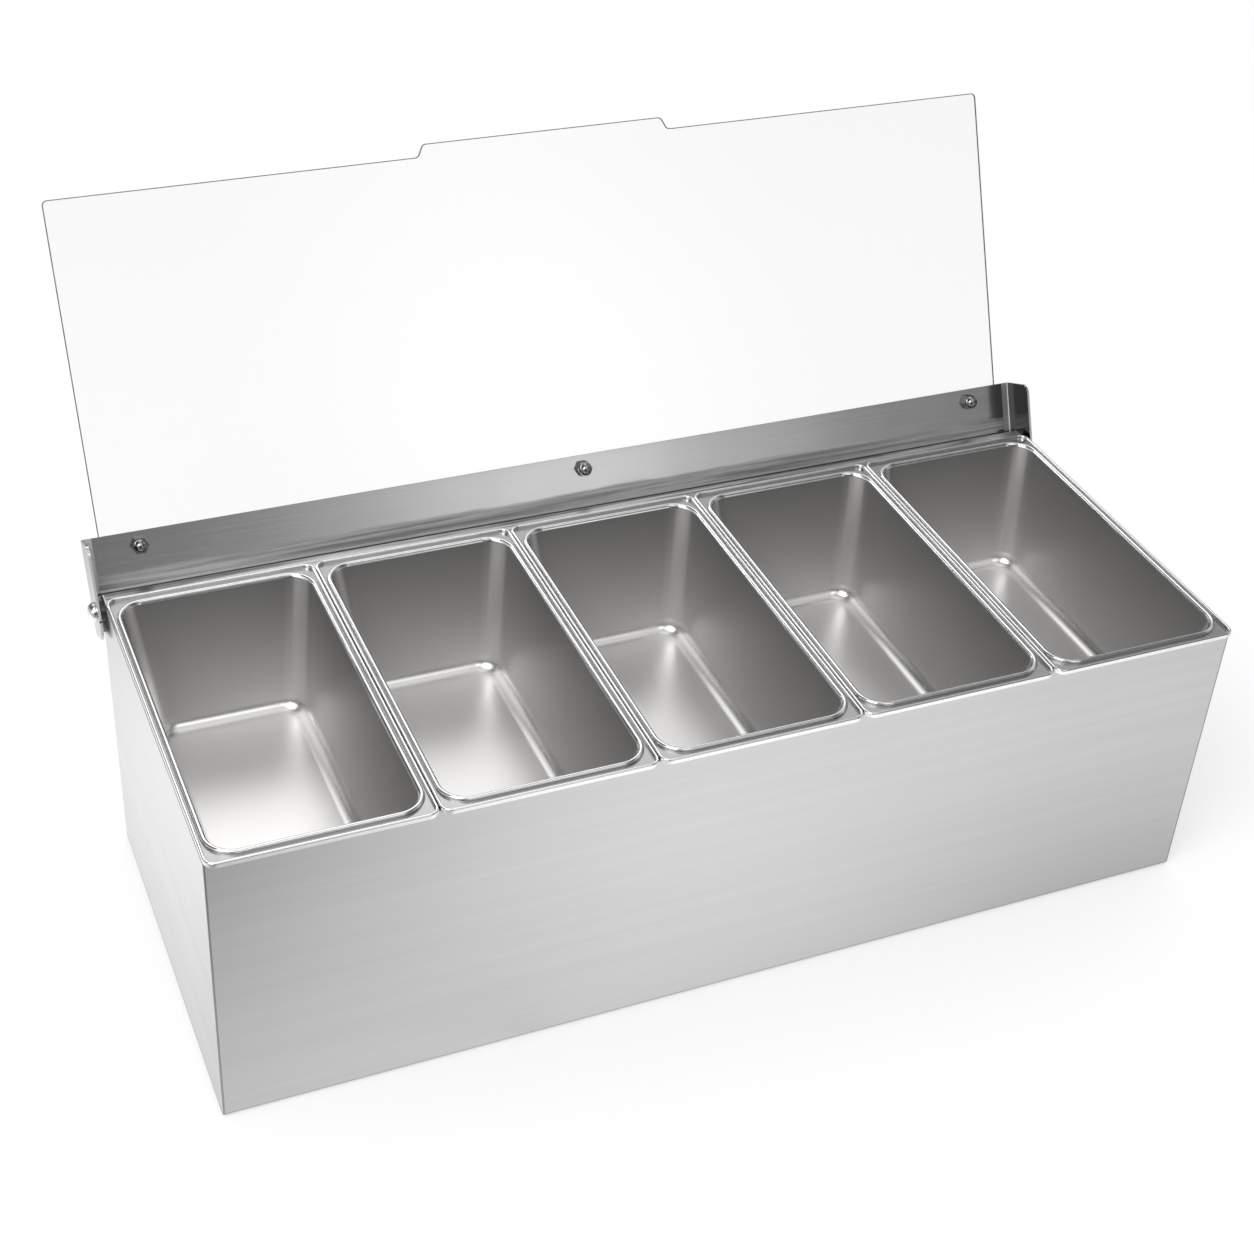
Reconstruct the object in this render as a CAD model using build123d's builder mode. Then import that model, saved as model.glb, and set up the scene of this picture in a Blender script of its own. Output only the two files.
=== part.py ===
from build123d import *
import math
import os

# A bar garnish tray: five lift-out pans in an open-topped sheet steel housing,
# under a clear lid that flips back on a hinged channel.
# The origin is the centre of the housing's footprint, on the surface it stands on.
# The front faces -Y and the viewer's left is -X. All lengths are in millimetres.

# Housing
housing_width = 485.0
housing_depth = 193.0
housing_height = 145.5
housing_sheet = 1.0
housing_fold_radius = 2.2
end_panel_edge_radius = 0.6
shelf_width = 12.0

# Pans
pan_count = 5
pan_gap = 0.4
pan_sheet = 0.8
pan_depth = 64.5
pan_front_overhang = 3.8
pan_front_clearance = 0.9
pan_shelf_bearing = 3.2
pan_shelf_clearance = 2.5
pan_floor_inset_side = 7.8
pan_floor_inset_end = 16.0
pan_mouth_corner_radius = 11.0
pan_floor_corner_radius = 11.5
pan_floor_fillet = 8.0
rim_height = 2.5
rim_lip_width = 1.4
rim_bead_width = 2.2
rim_side_groove = 0.9
rim_corner_radius = 5.0
rim_edge_radius = 0.6

# Hinge: the channel behind the housing and its two pivots
pivot_inset = 4.9
pivot_drop = 6.5
lean_angle = 24.0
swing_clearance = 1.36
stop_clearance = 0.3
bracket_sheet = 1.2
bracket_fold_radius = 1.8
strip_height = 44.0
ear_gap = 2.6
ear_front_margin = 8.3
ear_top_corner_radius = 5.0
ear_low_corner_radius = 4.0

# Pivot screws, spacers and nuts
pivot_screw_diameter = 4.0
pivot_head_diameter = 9.4
pivot_head_height = 3.2
pivot_end_length = 0.8
pivot_nut_flats = 7.0
pivot_nut_height = 3.2
spacer_diameter = 9.0
running_clearance = 0.05
running_gap = 0.1
thread_clearance = 0.03

# Lid
lid_sheet = 1.5
lid_side_inset = 8.2
lid_overlap = 15.0
lid_front_inset = 4.5
lid_corner_radius = 2.5
tab_reach = 5.8
tab_tip_width = 122.0
tab_step_width = 3.0

# Lid screws, washers and cap nuts
lid_screw_diameter = 4.0
lid_screw_clearance = 0.08
lid_head_diameter = 8.0
lid_head_height = 2.4
lid_washer_diameter = 9.0
lid_washer_sheet = 0.8
fastener_side_inset = 25.9
fastener_drop = 6.7
cap_nut_flats = 7.0
cap_nut_hex_height = 3.0
cap_nut_dome_diameter = 6.4
cap_nut_height = 6.2
cap_nut_bore_depth = 4.8
cap_nut_end_clearance = 0.4
socket_flats = 2.5
socket_depth = 1.3

# Share of a head's height, or of a dome's radius, that its rounded edge takes
dome_round_share = 0.96

os.makedirs("parts", exist_ok=True)

side_names = {"left": -1, "right": 1}

# Housing places worked out from its sizes
front_y = -housing_depth / 2
back_y = housing_depth / 2
end_x = housing_width / 2
shell_half_width = end_x - housing_sheet
shelf_front_y = back_y - shelf_width

# Pan rim: it lies on the front wall, the shelf and the end panels
pan_pitch = housing_width / pan_count
pan_width = pan_pitch - pan_gap
pan_front_y = front_y - pan_front_overhang
pan_back_y = shelf_front_y + pan_shelf_bearing
pan_length = pan_back_y - pan_front_y
pan_y = (pan_back_y + pan_front_y) / 2
rim_top_z = housing_height + rim_height
rim_sheet_z = housing_height + pan_sheet

# Pan mouth and floor: the tub clears the front wall and the shelf
rim_side = rim_lip_width + rim_side_groove + rim_bead_width
rim_front = pan_front_overhang + housing_sheet + pan_front_clearance + pan_sheet
rim_back = pan_shelf_bearing + pan_shelf_clearance + pan_sheet
mouth_width = pan_width - 2 * rim_side
mouth_length = pan_length - rim_front - rim_back
mouth_y = (pan_front_y + rim_front + pan_back_y - rim_back) / 2
floor_width = mouth_width - 2 * pan_floor_inset_side
floor_length = mouth_length - 2 * pan_floor_inset_end
floor_z = rim_top_z - pan_depth
rim_depth_share = rim_height / pan_depth

# Pivot line, and the strip plane that swings clear of the back wall and the pans
pivot_y = back_y - pivot_inset
pivot_z = housing_height - pivot_drop
wall_reach = math.hypot(back_y - pivot_y, housing_height - pivot_z)
pan_reach = math.hypot(pan_back_y - pivot_y, rim_top_z - pivot_z)
strip_offset = max(wall_reach, pan_reach) + swing_clearance

# Standing open, the strip's lower edge stops against the back wall
lean_sin = math.sin(math.radians(lean_angle))
lean_cos = math.cos(math.radians(lean_angle))
low_y = back_y + stop_clearance
pivot_height_on_strip = (strip_offset * lean_cos - (low_y - pivot_y)) / lean_sin
low_z = pivot_z - pivot_height_on_strip * lean_cos - strip_offset * lean_sin
ear_depth = strip_offset + ear_front_margin
ear_inner_x = end_x + ear_gap
ear_outer_x = ear_inner_x + bracket_sheet

# Directions of the open strip: up along it, and out of its front face
up_strip = Vector(0, lean_sin, lean_cos)
out_of_strip = Vector(0, -lean_cos, lean_sin)
low_edge = Vector(0, low_y, low_z)
strip_plane = Plane(origin=low_edge, x_dir=(1, 0, 0), z_dir=out_of_strip)
lid_plane = strip_plane.offset(-bracket_sheet)
channel_plane = Plane(origin=low_edge, x_dir=(1, 0, 0), z_dir=-up_strip)

# Lid edges, measured up the strip: closed, the free edge lies over the front of the pans
lid_half_width = ear_outer_x - lid_side_inset
lid_low = strip_height - lid_overlap
lid_free = pivot_height_on_strip + pivot_y - (front_y + lid_front_inset)
tab_tip = lid_free + tab_reach
tab_half_tip = tab_tip_width / 2
tab_half_base = tab_half_tip + tab_step_width

# Fastener places on the strip
fastener_x = ear_outer_x - fastener_side_inset
fastener_height = strip_height - fastener_drop
fastener_places = {"left": -fastener_x, "centre": 0, "right": fastener_x}

# Radii of shanks and of the holes that they pass
pivot_shank_radius = pivot_screw_diameter / 2
pivot_hole_radius = pivot_shank_radius + running_clearance
pivot_thread_radius = pivot_shank_radius + thread_clearance
lid_shank_radius = lid_screw_diameter / 2
lid_hole_radius = lid_shank_radius + lid_screw_clearance
lid_thread_radius = lid_shank_radius + thread_clearance


def strip_place(x, height, out):
    """Plane square to the strip at x, that far up it and that far out of its front face."""
    origin = low_edge + Vector(x, 0, 0) + up_strip * height + out_of_strip * out
    return Plane(origin=origin, x_dir=(1, 0, 0), z_dir=out_of_strip)


def pivot_place(side, x):
    """Plane square to the pivot line at that distance from the middle, facing outwards."""
    return Plane(origin=(side * x, pivot_y, pivot_z), x_dir=(0, 0, 1), z_dir=(side, 0, 0))


def pan_section(z, width, length, corner_radius):
    """Rounded rectangle about the middle of the pan's mouth, at that height."""
    with BuildSketch(Plane(origin=(0, mouth_y, z))) as section:
        RectangleRounded(width, length, corner_radius)
    return section.sketch


# Housing shell: front wall, floor, back wall and top shelf folded from one sheet
with BuildPart() as housing_shell:
    with BuildSketch(Plane.YZ):
        with BuildLine():
            FilletPolyline(
                (front_y, housing_height),
                (front_y, 0),
                (back_y, 0),
                (back_y, housing_height),
                (shelf_front_y, housing_height),
                radius=housing_fold_radius,
            )
            offset(amount=housing_sheet, side=Side.RIGHT)
        make_face()
    extrude(amount=shell_half_width, both=True)

housing_shell.part.label = "housing_shell"
export_step(housing_shell.part, "parts/housing_shell.step")

# End panels close the shell and carry the pivots
for side_name, side in side_names.items():
    with BuildPart() as end_panel:
        with BuildSketch(Plane.YZ.offset(side * shell_half_width)) as end_outline:
            with Locations((0, housing_height / 2)):
                Rectangle(housing_depth, housing_height)
            low_corners = end_outline.vertices().group_by(Axis.Y)[0]
            back_top_corner = end_outline.vertices().group_by(Axis.Y)[-1].sort_by(Axis.X)[-1:]
            fillet(low_corners + back_top_corner, housing_fold_radius)
            with Locations((pivot_y, pivot_z)):
                Circle(pivot_thread_radius, mode=Mode.SUBTRACT)
        extrude(amount=side * housing_sheet)
        outer_face = end_panel.faces().filter_by(Axis.X).sort_by(Axis.X)[-1 if side > 0 else 0]
        outer_edges = outer_face.outer_wire().edges().sort_by(Axis.Z)
        fillet(outer_edges[:-1], end_panel_edge_radius)

    end_panel.part.label = f"end_panel_{side_name}"
    export_step(end_panel.part, f"parts/end_panel_{side_name}.step")

# The space inside a pan, from its floor to the top of its mouth
with BuildPart() as pan_space:
    add(pan_section(floor_z, floor_width, floor_length, pan_floor_corner_radius))
    add(pan_section(rim_top_z, mouth_width, mouth_length, pan_mouth_corner_radius))
    loft()
    fillet(pan_space.faces().sort_by(Axis.Z)[0].outer_wire().edges(), pan_floor_fillet)

# The outside of a pan's tub, one sheet larger, from under its floor to its rim
tub_top_width = mouth_width - 2 * pan_floor_inset_side * rim_depth_share + 2 * pan_sheet
tub_top_length = mouth_length - 2 * pan_floor_inset_end * rim_depth_share + 2 * pan_sheet
tub_top_corner_radius = pan_mouth_corner_radius + pan_sheet
with BuildPart() as pan_tub:
    add(
        pan_section(
            floor_z - pan_sheet,
            floor_width + 2 * pan_sheet,
            floor_length + 2 * pan_sheet,
            pan_floor_corner_radius + pan_sheet,
        )
    )
    add(pan_section(housing_height, tub_top_width, tub_top_length, tub_top_corner_radius))
    loft()
    fillet(pan_tub.faces().sort_by(Axis.Z)[0].outer_wire().edges(), pan_floor_fillet + pan_sheet)

# One pan about the middle of the housing: rim with a lip, a groove and a bead, and the tub
with BuildPart() as pan_form:
    with BuildSketch(Plane(origin=(0, pan_y, housing_height))):
        RectangleRounded(pan_width, pan_length, rim_corner_radius)
    extrude(amount=rim_height)
    with BuildSketch(Plane(origin=(0, pan_y, rim_sheet_z))):
        RectangleRounded(
            pan_width - 2 * rim_lip_width,
            pan_length - 2 * rim_lip_width,
            rim_corner_radius - rim_lip_width,
        )
        with Locations((0, mouth_y - pan_y)):
            RectangleRounded(
                mouth_width + 2 * rim_bead_width,
                mouth_length + 2 * rim_bead_width,
                pan_mouth_corner_radius + rim_bead_width,
                mode=Mode.SUBTRACT,
            )
    extrude(amount=rim_height - pan_sheet, mode=Mode.SUBTRACT)
    add(pan_tub.part)
    add(pan_space.part, mode=Mode.SUBTRACT)
    fillet(pan_form.edges().group_by(Axis.Z)[-1], rim_edge_radius)

# The five pans, side by side from the left end
for number in range(1, pan_count + 1):
    pan_x = (number - (pan_count + 1) / 2) * pan_pitch
    with BuildPart() as pan:
        with Locations((pan_x, 0, 0)):
            add(pan_form.part)

    pan.part.label = f"pan_{number}"
    export_step(pan.part, f"parts/pan_{number}.step")

# Hinge bracket: a channel with a tall strip and an ear folded forward at each end
with BuildPart() as hinge_bracket:
    with BuildSketch(channel_plane):
        with BuildLine():
            FilletPolyline(
                (-ear_outer_x, ear_depth),
                (-ear_outer_x, -bracket_sheet),
                (ear_outer_x, -bracket_sheet),
                (ear_outer_x, ear_depth),
                radius=bracket_fold_radius,
            )
            offset(amount=bracket_sheet, side=Side.LEFT)
        make_face()
    extrude(amount=-strip_height)
    out_axis = Axis(low_edge, out_of_strip)
    up_axis = Axis(low_edge, up_strip)
    ear_corners = hinge_bracket.edges().filter_by(Axis.X).group_by(out_axis)[-1].sort_by(up_axis)
    fillet(ear_corners[2:], ear_top_corner_radius)
    ear_corners = hinge_bracket.edges().filter_by(Axis.X).group_by(out_axis)[-1].sort_by(up_axis)
    fillet(ear_corners[:2], ear_low_corner_radius)
    with BuildSketch(Plane.YZ):
        with Locations((pivot_y, pivot_z)):
            Circle(pivot_hole_radius)
    extrude(amount=ear_outer_x, both=True, mode=Mode.SUBTRACT)
    with BuildSketch(strip_plane):
        with Locations([(x, fastener_height) for x in fastener_places.values()]):
            Circle(lid_hole_radius)
    extrude(amount=-bracket_sheet, mode=Mode.SUBTRACT)

hinge_bracket.part.label = "hinge_bracket"
export_step(hinge_bracket.part, "parts/hinge_bracket.step")

# Lid: a clear sheet on the back of the strip, with a finger tab on its free edge
with BuildPart() as lid_panel:
    with BuildSketch(lid_plane) as lid_outline:
        with BuildLine():
            Polyline(
                (-lid_half_width, lid_low),
                (lid_half_width, lid_low),
                (lid_half_width, lid_free),
                (tab_half_base, lid_free),
                (tab_half_tip, tab_tip),
                (-tab_half_tip, tab_tip),
                (-tab_half_base, lid_free),
                (-lid_half_width, lid_free),
                close=True,
            )
        make_face()
        fillet(lid_outline.vertices(), lid_corner_radius)
        with Locations([(x, fastener_height) for x in fastener_places.values()]):
            Circle(lid_hole_radius, mode=Mode.SUBTRACT)
    extrude(amount=-lid_sheet)

lid_panel.part.label = "lid_panel"
export_step(lid_panel.part, "parts/lid_panel.step")

# Lid fasteners: a socket screw and washer on the lid's back, a cap nut on the strip's front
lid_back = -bracket_sheet - lid_sheet
washer_back = lid_back - lid_washer_sheet
lid_shank_end = cap_nut_bore_depth - cap_nut_end_clearance
for place_name, place_x in fastener_places.items():
    washer_place = strip_place(place_x, fastener_height, lid_back)
    head_place = strip_place(place_x, fastener_height, washer_back)
    socket_place = strip_place(place_x, fastener_height, washer_back - lid_head_height)
    nut_place = strip_place(place_x, fastener_height, 0)

    with BuildPart() as lid_washer:
        with BuildSketch(washer_place):
            Circle(lid_washer_diameter / 2)
            Circle(lid_hole_radius, mode=Mode.SUBTRACT)
        extrude(amount=-lid_washer_sheet)

    with BuildPart() as lid_screw:
        with BuildSketch(head_place):
            Circle(lid_head_diameter / 2)
        extrude(amount=-lid_head_height)
        head_rim = lid_screw.edges().filter_by(GeomType.CIRCLE).sort_by(out_axis)[0]
        fillet(head_rim, lid_head_height * dome_round_share)
        with BuildSketch(head_place):
            Circle(lid_shank_radius)
        extrude(amount=lid_shank_end - washer_back)
        with BuildSketch(socket_place):
            RegularPolygon(socket_flats / 2, 6, major_radius=False)
        extrude(amount=socket_depth, mode=Mode.SUBTRACT)

    with BuildPart() as cap_nut:
        with BuildSketch(nut_place):
            RegularPolygon(cap_nut_flats / 2, 6, major_radius=False)
        extrude(amount=cap_nut_hex_height)
        with BuildSketch(nut_place):
            Circle(cap_nut_dome_diameter / 2)
        extrude(amount=cap_nut_height)
        dome_rim = cap_nut.edges().filter_by(GeomType.CIRCLE).sort_by(out_axis)[-1]
        fillet(dome_rim, cap_nut_dome_diameter / 2 * dome_round_share)
        with BuildSketch(nut_place):
            Circle(lid_thread_radius)
        extrude(amount=cap_nut_bore_depth, mode=Mode.SUBTRACT)

    lid_washer.part.label = f"lid_washer_{place_name}"
    export_step(lid_washer.part, f"parts/lid_washer_{place_name}.step")
    lid_screw.part.label = f"lid_screw_{place_name}"
    export_step(lid_screw.part, f"parts/lid_screw_{place_name}.step")
    cap_nut.part.label = f"cap_nut_{place_name}"
    export_step(cap_nut.part, f"parts/cap_nut_{place_name}.step")

# Pivots: a domed screw through each ear, a spacer and the end panel, with a nut inside
spacer_length = ear_gap - running_gap
head_x = ear_outer_x + running_gap
pivot_end_x = shell_half_width - pivot_nut_height - pivot_end_length
for side_name, side in side_names.items():
    with BuildPart() as pivot_screw:
        with BuildSketch(pivot_place(side, head_x)):
            Circle(pivot_head_diameter / 2)
        extrude(amount=pivot_head_height)
        head_rim = pivot_screw.edges().filter_by(GeomType.CIRCLE).sort_by(Axis.X)[-1 if side > 0 else 0]
        fillet(head_rim, pivot_head_height * dome_round_share)
        with BuildSketch(pivot_place(side, head_x)):
            Circle(pivot_shank_radius)
        extrude(amount=pivot_end_x - head_x)

    with BuildPart() as pivot_spacer:
        with BuildSketch(pivot_place(side, end_x)):
            Circle(spacer_diameter / 2)
            Circle(pivot_thread_radius, mode=Mode.SUBTRACT)
        extrude(amount=spacer_length)

    with BuildPart() as pivot_nut:
        with BuildSketch(pivot_place(side, shell_half_width)):
            RegularPolygon(pivot_nut_flats / 2, 6, major_radius=False)
            Circle(pivot_thread_radius, mode=Mode.SUBTRACT)
        extrude(amount=-pivot_nut_height)

    pivot_screw.part.label = f"pivot_screw_{side_name}"
    export_step(pivot_screw.part, f"parts/pivot_screw_{side_name}.step")
    pivot_spacer.part.label = f"pivot_spacer_{side_name}"
    export_step(pivot_spacer.part, f"parts/pivot_spacer_{side_name}.step")
    pivot_nut.part.label = f"pivot_nut_{side_name}"
    export_step(pivot_nut.part, f"parts/pivot_nut_{side_name}.step")
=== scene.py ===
import math

import bmesh
import bpy
from mathutils import Matrix, Vector


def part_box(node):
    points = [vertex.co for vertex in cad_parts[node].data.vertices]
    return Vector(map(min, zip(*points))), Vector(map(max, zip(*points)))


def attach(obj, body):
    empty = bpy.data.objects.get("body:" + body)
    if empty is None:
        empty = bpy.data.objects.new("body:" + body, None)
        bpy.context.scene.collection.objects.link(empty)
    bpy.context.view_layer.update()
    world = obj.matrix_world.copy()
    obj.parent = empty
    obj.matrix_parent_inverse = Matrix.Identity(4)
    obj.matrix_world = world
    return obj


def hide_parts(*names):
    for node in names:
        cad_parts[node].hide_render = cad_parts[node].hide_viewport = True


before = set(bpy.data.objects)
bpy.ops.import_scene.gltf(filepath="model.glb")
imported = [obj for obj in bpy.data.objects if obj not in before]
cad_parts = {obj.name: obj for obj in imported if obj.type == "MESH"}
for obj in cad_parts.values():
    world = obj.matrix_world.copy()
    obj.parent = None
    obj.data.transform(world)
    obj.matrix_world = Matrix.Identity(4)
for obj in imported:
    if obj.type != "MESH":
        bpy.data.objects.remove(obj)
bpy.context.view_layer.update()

# The looks of a bar garnish tray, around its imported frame.
# Everything is in metres in the frame's own axes: the front faces -Y, up is +Z.
# Tones run from 0, black, to 1, white. A name that holds two values gives a range's ends.

MM = 0.001
WHITE = (1.0, 1.0, 1.0, 1.0)

# Names of the pieces
PAN_NAMES = [f"pan_{number}" for number in range(1, 6)]
SIDES = ("left", "right")
PLACES = ("left", "centre", "right")

# Places read from the frame
HOUSING_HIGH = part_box("housing_shell")[1]
MIDDLE_PAN_LOW, MIDDLE_PAN_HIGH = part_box("pan_3")
PAN_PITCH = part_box("pan_4")[0].x - MIDDLE_PAN_LOW.x


# Camera: the photograph's viewing angle

CAMERA_AZIMUTH = -25.0746
CAMERA_ELEVATION = 35.921
CAMERA_ROLL = 3.9263
CAMERA_DISTANCE = 1.02295
CAMERA_TARGET = Vector((0, 0, 0.075))
CAMERA_RIGHT_SHIFT = 0.017036
CAMERA_UP_SHIFT = -0.050403
CAMERA_CLIP_START = 0.01
FOCAL_PIXELS = 2129.93
FRAME_PIXELS = 1254
SENSOR_WIDTH = 36.0


def make_camera():
    """Puts the camera where the photograph was taken from, and makes it the scene's own."""
    azimuth = math.radians(CAMERA_AZIMUTH)
    elevation = math.radians(CAMERA_ELEVATION)
    roll = math.radians(CAMERA_ROLL)
    back = Vector((
        math.sin(azimuth) * math.cos(elevation),
        -math.cos(azimuth) * math.cos(elevation),
        math.sin(elevation),
    ))
    level_right = (-back).cross(Vector((0, 0, 1))).normalized()
    level_up = level_right.cross(-back)
    right = math.cos(roll) * level_right + math.sin(roll) * level_up
    up = -math.sin(roll) * level_right + math.cos(roll) * level_up
    shift = right * CAMERA_RIGHT_SHIFT + up * CAMERA_UP_SHIFT
    place = CAMERA_TARGET + back * CAMERA_DISTANCE - shift
    data = bpy.data.cameras.new("camera")
    data.sensor_width = SENSOR_WIDTH
    data.lens = SENSOR_WIDTH * FOCAL_PIXELS / FRAME_PIXELS
    data.clip_start = CAMERA_CLIP_START
    camera = bpy.data.objects.new("camera", data)
    turn = Matrix((right, up, back)).transposed().to_4x4()
    camera.matrix_world = Matrix.Translation(place) @ turn
    bpy.context.scene.collection.objects.link(camera)
    bpy.context.scene.camera = camera


# Sizes of the pans

PAN_SHEET = 0.8 * MM
PAN_DEPTH = 64.5 * MM
RIM_HEIGHT = 2.5 * MM
LIP_WIDTH = 1.4 * MM
BEAD_WIDTH = 2.2 * MM
MOUTH_HALF_X = 43.8 * MM
MOUTH_HALF_Y = 87.5 * MM
FLOOR_INSET_X = 7.8 * MM
FLOOR_INSET_Y = 16.0 * MM
MOUTH_CORNER = 11.0 * MM
FLOOR_CORNER = 11.5 * MM
RIM_CORNER = 5.0 * MM
FLOOR_FILLET = 8.0 * MM
BEAD_ROUND = 1.0 * MM
LIP_ROUND = 0.6 * MM
GROOVE_ROUND = 0.3 * MM
UNDER_ROUND = 0.3 * MM


# Looks of the materials

# Most values of a noise lie in this span
NOISE_SPAN = (0.3, 0.7)

# Brushed steel: grain lines in a metre along X, Y and Z
GRAIN_ALONG_X = (14, 500, 1400)
GRAIN_ALONG_Y = (1400, 14, 500)
TURNED_GRAIN = (900, 900, 900)
FINE_SHARE = 0.6
BROAD_GRAIN = 0.12
GRAIN_RELIEF = 0.2 * MM
SHEEN_CHANGE = 0.08
STREAK_GRAIN = (9, 450, 450)
STREAK_SPAN = (0.4, 0.6)

# Inside of the pans: heights are over the pan's floor
FLOOR_TONE = 0.89
FILLET_TONE = 0.86
# Painted highlight: the tone of the pans' upright corners
CORNER_HIGHLIGHT_TONE = 0.98
# Painted shade: the walls' tones at their foot and at their top, darker upwards
WALL_SHADE_TONES = (0.82, 0.36)
FILLET_HEIGHTS = (0.2 * MM, 0.8 * MM)
WALL_HEIGHTS = (3.6 * MM, 5.6 * MM)
CORNER_GAIN = 2.0
CORNER_SPAN = (0.6, 1.0)
PAN_WARMTH = 0.01
PAN_GRAIN = 2600
PAN_GRAIN_TONES = (0.985, 1.015)
PAN_CLOUD = 16
PAN_CLOUD_TONES = (0.98, 1.02)
FLOOR_ROUGHNESS = 0.33
PAN_SHEEN = (0.96, 1.04)
WALL_ROUGHNESS = 0.56
FILLET_ROUGHNESS = 0.26
CORNER_ROUGHNESS = 0.34

# Ears of the bracket: a facing is 1 straight along its axis, -1 straight against it.
# A fold's middle faces inward by FOLD_TURN, and FOLD_SPAN is how far off it the fold fades.
# Painted shade: the tone of the ears' inner sides, which face the housing
INNER_EAR_SHADE_TONE = 0.14
INNER_EAR_FACING = (-0.99, -0.93)
FOLD_TURN = 0.65
FOLD_SPAN = (0.15, 0.3)
FOLD_FRONT_FACING = (-0.2, -0.4)
FOLD_DULLED = 0.3

# Strip of the bracket: heights are over the ground
FRONT_FACING = (-0.6, -0.85)
# Height of a painted highlight line, with a painted shade line just below it and painted shade over
# the band above
STRIP_LINE = 140.4 * MM
STRIP_LINE_WIDTH = 1.0 * MM
STRIP_LINE_EDGE = (0.3 * STRIP_LINE_WIDTH, 0.6 * STRIP_LINE_WIDTH)
# Tones of the painted highlight line and of the painted shade line below it
HIGHLIGHT_LINE_TONE = 1.0
SHADE_LINE_TONE = 0.15
STRIP_BAND = 7.5 * MM
STRIP_BAND_FADE = 3.0 * MM
STRIP_BAND_RAGGED = 0.5 * MM
RAGGED_GRAIN = (25, 1, 60)
# Painted shade: the streaked tones of the strip's foot
STRIP_FOOT_SHADE_TONES = (0.45, 0.88)
STRIP_FOOT_DULLED = 0.35

# Housing and end panels
# Painted reflection: the darker streaked tones of the shelf
SHELF_REFLECTION_TONES = (0.2, 0.8)
SHELF_HEIGHTS = (HOUSING_HIGH.z - 4.0 * MM, HOUSING_HIGH.z - 2.0 * MM)
SHELF_FACING = (0.3, 0.8)
# Painted contact shadow along the foot of the panels
PANEL_FOOT_SHADOW_TONE = 0.15
PANEL_FOOT_SHARE = 0.8
PANEL_FOOT_HEIGHTS = (0.9 * MM, 2.2 * MM)
PANEL_FOOT_FACING = (0.2, 0.5)
# Painted light: the pale tone of the steel inside the housing
INSIDE_PAINTED_LIGHT_TONE = 0.97
INSIDE_WALL_REACH = (-40 * MM, -70 * MM)
INSIDE_FLOOR_HEIGHTS = (3.0 * MM, 5.0 * MM)
INSIDE_FLOOR_FACING = (0.5, 0.8)
CUT_EDGE_TONE = 0.42
CUT_EDGE_FACING = (-0.5, -0.8)

# Plated fasteners: how their marks change the tone and the roughness
PLATING_GRAIN = 400
PLATING_TONES = (0.96, 1.03)
PLATING_SHEEN = (0.6, 1.5)

# Clear plastic of the lid
PLASTIC_TONE = 0.985
PLASTIC_SHADOW_TONE = 0.96
PLASTIC_IOR = 1.49
PLASTIC_GRAIN = 40
PLASTIC_MARKS_SPAN = (0.35, 0.7)
PLASTIC_ROUGHNESS = (0.0, 0.05)
EDGE_GRAIN = 300
# Painted shade: the dark grey tones of the lid's edge
EDGE_SHADE_TONES = (0.13, 0.19)
EDGE_ROUGHNESS = (0.2, 0.35)


# Small helpers for node trees

def add_node(tree, kind, inputs=None, **settings):
    """Makes a node, applies its settings, and sets or links its inputs by name or number."""
    made = tree.nodes.new(kind)
    for name, value in settings.items():
        setattr(made, name, value)
    for name, value in (inputs or {}).items():
        if isinstance(value, bpy.types.NodeSocket):
            tree.links.new(value, made.inputs[name])
        else:
            made.inputs[name].default_value = value
    return made


def math_node(tree, operation, first, second=0.0, third=0.0):
    """One step of arithmetic; returns its result."""
    inputs = {0: first, 1: second, 2: third}
    return add_node(tree, "ShaderNodeMath", inputs, operation=operation).outputs[0]


def product(tree, first, second):
    """Two values multiplied."""
    return math_node(tree, "MULTIPLY", first, second)


def map_range(tree, value, low, high, to_low=0.0, to_high=1.0, smooth=True):
    """Value from low to high becomes to_low to to_high, eased at both ends if smooth."""
    kind = "SMOOTHSTEP" if smooth else "LINEAR"
    ends = {"From Min": low, "From Max": high, "To Min": to_low, "To Max": to_high}
    inputs = {"Value": value, **ends}
    return add_node(tree, "ShaderNodeMapRange", inputs, interpolation_type=kind).outputs["Result"]


def noise(tree, place, scale, detail=3.0, roughness=0.5):
    """Noise over a stretched place: scale is how many cells fit in a metre along X, Y and Z."""
    stretched = add_node(tree, "ShaderNodeMapping", {"Vector": place, "Scale": scale})
    vector = stretched.outputs["Vector"]
    inputs = {"Vector": vector, "Scale": 1.0, "Detail": detail, "Roughness": roughness}
    return add_node(tree, "ShaderNodeTexNoise", inputs).outputs["Fac"]


def vary(tree, uneven, low, high, smooth=True):
    """A noise's usual span, stretched from low to high."""
    return map_range(tree, uneven, *NOISE_SPAN, low, high, smooth)


def place_on_piece(tree):
    """The place on the piece, which lies in the frame's own axes."""
    return add_node(tree, "ShaderNodeTexCoord").outputs["Object"]


def split(tree, vector):
    """A vector's X, Y and Z."""
    return add_node(tree, "ShaderNodeSeparateXYZ", {0: vector}).outputs


def facing_of(tree):
    """The X, Y and Z of the way the surface faces."""
    return split(tree, add_node(tree, "ShaderNodeNewGeometry").outputs["True Normal"])


def colour_of(tree, red, green, blue):
    """A colour from three values."""
    return add_node(tree, "ShaderNodeCombineColor", {0: red, 1: green, 2: blue}).outputs[0]


def grey_of(tree, value):
    """A neutral colour from a value that changes over the piece."""
    return colour_of(tree, value, value, value)


def grey(value):
    """A neutral colour from a number."""
    return (value, value, value, 1.0)


def new_material(name):
    """A new node material, and its tree."""
    material = bpy.data.materials.new(name)
    material.use_nodes = True
    return material, material.node_tree


def shader_of(tree):
    """A material's main shader."""
    return next(n for n in tree.nodes if n.type == "BSDF_PRINCIPLED")


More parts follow.
